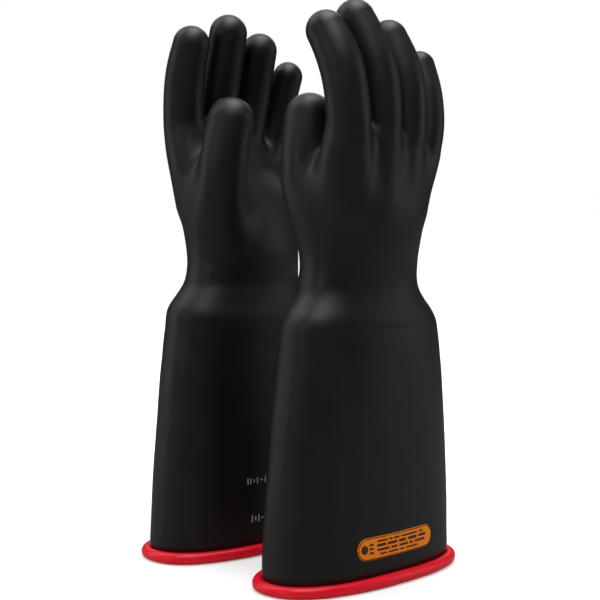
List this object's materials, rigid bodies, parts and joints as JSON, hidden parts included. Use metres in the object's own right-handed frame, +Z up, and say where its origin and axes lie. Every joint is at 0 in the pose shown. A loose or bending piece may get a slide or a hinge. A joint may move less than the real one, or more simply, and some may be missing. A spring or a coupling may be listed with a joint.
{
  "type": "electrical insulating gloves",
  "caption": "Pair of long two-ply rubber insulating gloves with flared gauntlets, rolled red cuff edges and curved fingers, standing on their cuffs.",
  "frame": {"origin": "on the floor, midway between the two gloves, at the centre of the pair's footprint", "axes": "+Z up along the gloves towards the fingertips, +X from the left glove to the right glove, square to the palms, +Y across the cuffs from the thumb side to the little-finger side"},
  "size_m": [0.1882, 0.159, 0.3599],
  "materials": {
    "outer_rubber": "satin black dipped rubber",
    "inner_rubber": "matte red dipped rubber",
    "bead_rubber": "satin red rubber, rolled",
    "label_rubber": "satin orange rubber, thin"
  },
  "bodies": {
    "left_gauntlet": {"left_gauntlet_shell": "outer_rubber", "left_gauntlet_liner": "inner_rubber", "left_rolled_bead": "bead_rubber", "left_class_label": "label_rubber"},
    "left_hand": {"left_hand_shell": "outer_rubber", "left_hand_liner": "inner_rubber"},
    "left_index_base": {"left_index_base_shell": "outer_rubber", "left_index_base_liner": "inner_rubber"},
    "left_index_tip": {"left_index_tip_shell": "outer_rubber", "left_index_tip_liner": "inner_rubber"},
    "left_middle_base": {"left_middle_base_shell": "outer_rubber", "left_middle_base_liner": "inner_rubber"},
    "left_middle_tip": {"left_middle_tip_shell": "outer_rubber", "left_middle_tip_liner": "inner_rubber"},
    "left_ring_base": {"left_ring_base_shell": "outer_rubber", "left_ring_base_liner": "inner_rubber"},
    "left_ring_tip": {"left_ring_tip_shell": "outer_rubber", "left_ring_tip_liner": "inner_rubber"},
    "left_little_base": {"left_little_base_shell": "outer_rubber", "left_little_base_liner": "inner_rubber"},
    "left_little_tip": {"left_little_tip_shell": "outer_rubber", "left_little_tip_liner": "inner_rubber"},
    "left_thumb_base": {"left_thumb_base_shell": "outer_rubber", "left_thumb_base_liner": "inner_rubber"},
    "left_thumb_tip": {"left_thumb_tip_shell": "outer_rubber", "left_thumb_tip_liner": "inner_rubber"},
    "right_gauntlet": {"right_gauntlet_shell": "outer_rubber", "right_gauntlet_liner": "inner_rubber", "right_rolled_bead": "bead_rubber", "right_class_label": "label_rubber"},
    "right_hand": {"right_hand_shell": "outer_rubber", "right_hand_liner": "inner_rubber"},
    "right_index_base": {"right_index_base_shell": "outer_rubber", "right_index_base_liner": "inner_rubber"},
    "right_index_tip": {"right_index_tip_shell": "outer_rubber", "right_index_tip_liner": "inner_rubber"},
    "right_middle_base": {"right_middle_base_shell": "outer_rubber", "right_middle_base_liner": "inner_rubber"},
    "right_middle_tip": {"right_middle_tip_shell": "outer_rubber", "right_middle_tip_liner": "inner_rubber"},
    "right_ring_base": {"right_ring_base_shell": "outer_rubber", "right_ring_base_liner": "inner_rubber"},
    "right_ring_tip": {"right_ring_tip_shell": "outer_rubber", "right_ring_tip_liner": "inner_rubber"},
    "right_little_base": {"right_little_base_shell": "outer_rubber", "right_little_base_liner": "inner_rubber"},
    "right_little_tip": {"right_little_tip_shell": "outer_rubber", "right_little_tip_liner": "inner_rubber"},
    "right_thumb_base": {"right_thumb_base_shell": "outer_rubber", "right_thumb_base_liner": "inner_rubber"},
    "right_thumb_tip": {"right_thumb_tip_shell": "outer_rubber", "right_thumb_tip_liner": "inner_rubber"}
  },
  "joints": [
    {"name": "left_wrist_bend", "type": "hinge", "parent": "left_gauntlet", "child": "left_hand", "pos_m": [-0.0573, 0, 0.2], "axis": [0, -1, 0], "range_deg": [-8, 30], "stiffness_Nm_per_rad": 0.5},
    {"name": "left_index_knuckle", "type": "hinge", "parent": "left_hand", "child": "left_index_base", "pos_m": [-0.0785, -0.031, 0.286], "axis": [0, 1, 0], "range_deg": [-10, 25], "stiffness_Nm_per_rad": 0.1},
    {"name": "left_index_middle", "type": "hinge", "parent": "left_index_base", "child": "left_index_tip", "pos_m": [-0.0749, -0.033, 0.316], "axis": [0, 1, 0], "range_deg": [-12, 60], "stiffness_Nm_per_rad": 0.05},
    {"name": "left_middle_knuckle", "type": "hinge", "parent": "left_hand", "child": "left_middle_base", "pos_m": [-0.0765, -0.0025, 0.29], "axis": [0, 1, 0], "range_deg": [-10, 25], "stiffness_Nm_per_rad": 0.1},
    {"name": "left_middle_middle", "type": "hinge", "parent": "left_middle_base", "child": "left_middle_tip", "pos_m": [-0.0713, -0.0032, 0.32], "axis": [0, 1, 0], "range_deg": [-12, 60], "stiffness_Nm_per_rad": 0.05},
    {"name": "left_ring_knuckle", "type": "hinge", "parent": "left_hand", "child": "left_ring_base", "pos_m": [-0.0751, 0.0228, 0.285], "axis": [0, 1, 0], "range_deg": [-10, 25], "stiffness_Nm_per_rad": 0.1},
    {"name": "left_ring_middle", "type": "hinge", "parent": "left_ring_base", "child": "left_ring_tip", "pos_m": [-0.0701, 0.0242, 0.313], "axis": [0, 1, 0], "range_deg": [-12, 60], "stiffness_Nm_per_rad": 0.05},
    {"name": "left_little_knuckle", "type": "hinge", "parent": "left_hand", "child": "left_little_base", "pos_m": [-0.0721, 0.0454, 0.28], "axis": [0, 1, 0], "range_deg": [-10, 25], "stiffness_Nm_per_rad": 0.1},
    {"name": "left_little_middle", "type": "hinge", "parent": "left_little_base", "child": "left_little_tip", "pos_m": [-0.0679, 0.0476, 0.302], "axis": [0, 1, 0], "range_deg": [-12, 60], "stiffness_Nm_per_rad": 0.05},
    {"name": "left_thumb_knuckle", "type": "hinge", "parent": "left_hand", "child": "left_thumb_base", "pos_m": [-0.0417, -0.0288, 0.248], "axis": [0.7071, 0.7071, 0], "range_deg": [-5, 25], "stiffness_Nm_per_rad": 0.1},
    {"name": "left_thumb_middle", "type": "hinge", "parent": "left_thumb_base", "child": "left_thumb_tip", "pos_m": [-0.0383, -0.0274, 0.27], "axis": [0.7071, 0.7071, 0], "range_deg": [-10, 18], "stiffness_Nm_per_rad": 0.05},
    {"name": "pair_separation", "type": "slide", "parent": "left_gauntlet", "child": "right_gauntlet", "axis": [1, 0, 0], "range_m": [0, 0.2]},
    {"name": "right_wrist_bend", "type": "hinge", "parent": "right_gauntlet", "child": "right_hand", "pos_m": [0.0573, 0, 0.2], "axis": [0, 1, 0], "range_deg": [-8, 30], "stiffness_Nm_per_rad": 0.5},
    {"name": "right_index_knuckle", "type": "hinge", "parent": "right_hand", "child": "right_index_base", "pos_m": [0.0785, -0.031, 0.286], "axis": [0, -1, 0], "range_deg": [-10, 25], "stiffness_Nm_per_rad": 0.1},
    {"name": "right_index_middle", "type": "hinge", "parent": "right_index_base", "child": "right_index_tip", "pos_m": [0.0749, -0.033, 0.316], "axis": [0, -1, 0], "range_deg": [-12, 60], "stiffness_Nm_per_rad": 0.05},
    {"name": "right_middle_knuckle", "type": "hinge", "parent": "right_hand", "child": "right_middle_base", "pos_m": [0.0765, -0.0025, 0.29], "axis": [0, -1, 0], "range_deg": [-10, 25], "stiffness_Nm_per_rad": 0.1},
    {"name": "right_middle_middle", "type": "hinge", "parent": "right_middle_base", "child": "right_middle_tip", "pos_m": [0.0713, -0.0032, 0.32], "axis": [0, -1, 0], "range_deg": [-12, 60], "stiffness_Nm_per_rad": 0.05},
    {"name": "right_ring_knuckle", "type": "hinge", "parent": "right_hand", "child": "right_ring_base", "pos_m": [0.0751, 0.0228, 0.285], "axis": [0, -1, 0], "range_deg": [-10, 25], "stiffness_Nm_per_rad": 0.1},
    {"name": "right_ring_middle", "type": "hinge", "parent": "right_ring_base", "child": "right_ring_tip", "pos_m": [0.0701, 0.0242, 0.313], "axis": [0, -1, 0], "range_deg": [-12, 60], "stiffness_Nm_per_rad": 0.05},
    {"name": "right_little_knuckle", "type": "hinge", "parent": "right_hand", "child": "right_little_base", "pos_m": [0.0721, 0.0454, 0.28], "axis": [0, -1, 0], "range_deg": [-10, 25], "stiffness_Nm_per_rad": 0.1},
    {"name": "right_little_middle", "type": "hinge", "parent": "right_little_base", "child": "right_little_tip", "pos_m": [0.0679, 0.0476, 0.302], "axis": [0, -1, 0], "range_deg": [-12, 60], "stiffness_Nm_per_rad": 0.05},
    {"name": "right_thumb_knuckle", "type": "hinge", "parent": "right_hand", "child": "right_thumb_base", "pos_m": [0.0417, -0.0288, 0.248], "axis": [0.7071, -0.7071, 0], "range_deg": [-5, 25], "stiffness_Nm_per_rad": 0.1},
    {"name": "right_thumb_middle", "type": "hinge", "parent": "right_thumb_base", "child": "right_thumb_tip", "pos_m": [0.0383, -0.0274, 0.27], "axis": [0.7071, -0.7071, 0], "range_deg": [-10, 18], "stiffness_Nm_per_rad": 0.05}
  ]
}
